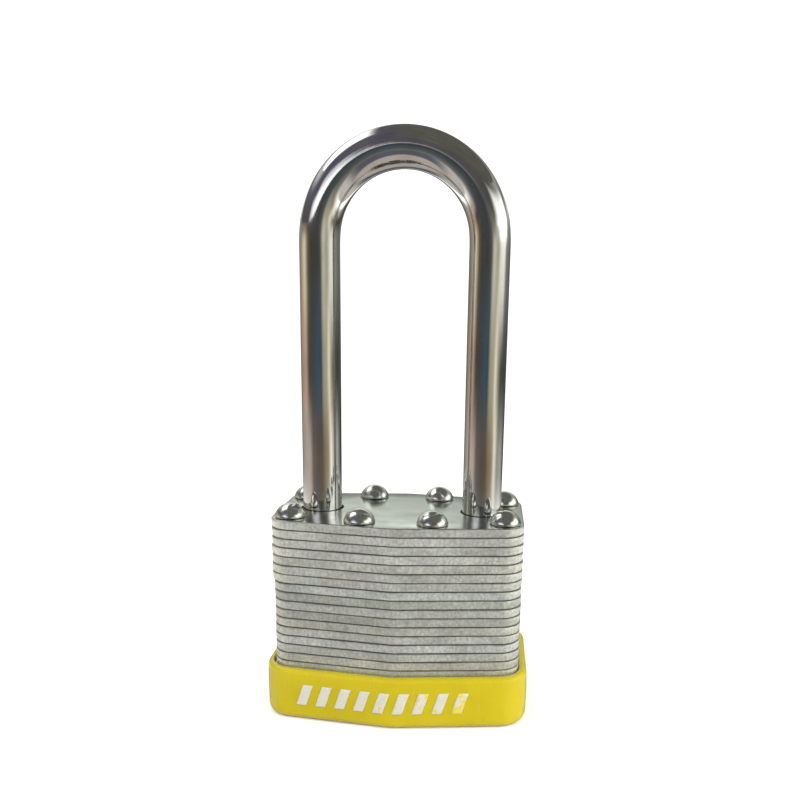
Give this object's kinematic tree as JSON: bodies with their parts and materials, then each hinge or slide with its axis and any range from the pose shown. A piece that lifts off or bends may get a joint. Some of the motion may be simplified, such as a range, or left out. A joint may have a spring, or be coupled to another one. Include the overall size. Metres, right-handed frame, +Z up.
{
  "type": "laminated safety padlock",
  "caption": "Laminated steel padlock with a long round shackle, domed rivets and a soft moulded cup round its base.",
  "frame": {"origin": "centre of the base, on the surface that the lock stands on", "axes": "+Z up along the shackle legs, X across both shackle legs with the toe leg at +X, front face towards -Y"},
  "size_m": [0.0428, 0.0273, 0.0921],
  "materials": {
    "zinc_plate": "zinc-plated stamped steel, satin, with sheared edges",
    "rivet_steel": "bright plated steel, domed and polished",
    "chrome_shackle": "bright chrome plating over hardened steel",
    "yellow_bumper": "glossy moulded vinyl",
    "silver_print": "silver-grey raised print",
    "brass": "machined brass",
    "spring_steel": "drawn spring wire and strip",
    "lever_steel": "hardened steel with a ground surface"
  },
  "bodies": {
    "body": {"roof_plate_1": "zinc_plate", "roof_plate_2": "zinc_plate", "lever_plate_1": "zinc_plate", "lever_plate_2": "zinc_plate", "lever_plate_3": "zinc_plate", "cam_plate": "zinc_plate", "tail_plate": "zinc_plate", "cylinder_plate_01": "zinc_plate", "cylinder_plate_02": "zinc_plate", "cylinder_plate_03": "zinc_plate", "cylinder_plate_04": "zinc_plate", "cylinder_plate_05": "zinc_plate", "cylinder_plate_06": "zinc_plate", "cylinder_plate_07": "zinc_plate", "cylinder_plate_08": "zinc_plate", "cylinder_plate_09": "zinc_plate", "cylinder_plate_10": "zinc_plate", "cylinder_plate_11": "zinc_plate", "cylinder_plate_12": "zinc_plate", "cylinder_plate_13": "zinc_plate", "bottom_plate": "zinc_plate", "corner_rivets": "rivet_steel", "face_rivets": "rivet_steel", "bumper": "yellow_bumper", "bumper_marks": "silver_print", "cylinder_shell": "brass", "chamber_cover": "brass", "driver_pins": "brass", "pin_springs": "spring_steel", "lever_spring": "spring_steel", "shackle_spring": "spring_steel"},
    "shackle": {"shackle": "chrome_shackle", "heel_ring": "spring_steel"},
    "plug": {"plug": "brass", "key_pins": "brass", "plug_clip": "spring_steel", "cam": "lever_steel"},
    "left_lever": {"left_lever": "lever_steel"},
    "right_lever": {"right_lever": "lever_steel"}
  },
  "joints": [
    {"name": "shackle_lift", "type": "slide", "parent": "body", "child": "shackle", "axis": [0, 0, 1], "range_m": [0, 0.0104], "deforming": ["shackle_spring"]},
    {"name": "key_turn", "type": "hinge", "parent": "body", "child": "plug", "pos_m": [0, -0.002, 0], "axis": [0, 0, -1], "range_deg": [0, 90]},
    {"name": "left_lever_throw", "type": "slide", "parent": "body", "child": "left_lever", "axis": [-1, 0, 0], "range_m": [0, 0.00241], "deforming": ["lever_spring"]},
    {"name": "right_lever_throw", "type": "slide", "parent": "body", "child": "right_lever", "axis": [1, 0, 0], "range_m": [0, 0.00241], "deforming": ["lever_spring"]}
  ],
  "couplings": [
    {"joint": "left_lever_throw", "follows": "key_turn", "m_per_rad": 0.0015305},
    {"joint": "right_lever_throw", "follows": "key_turn", "m_per_rad": 0.0015305}
  ]
}
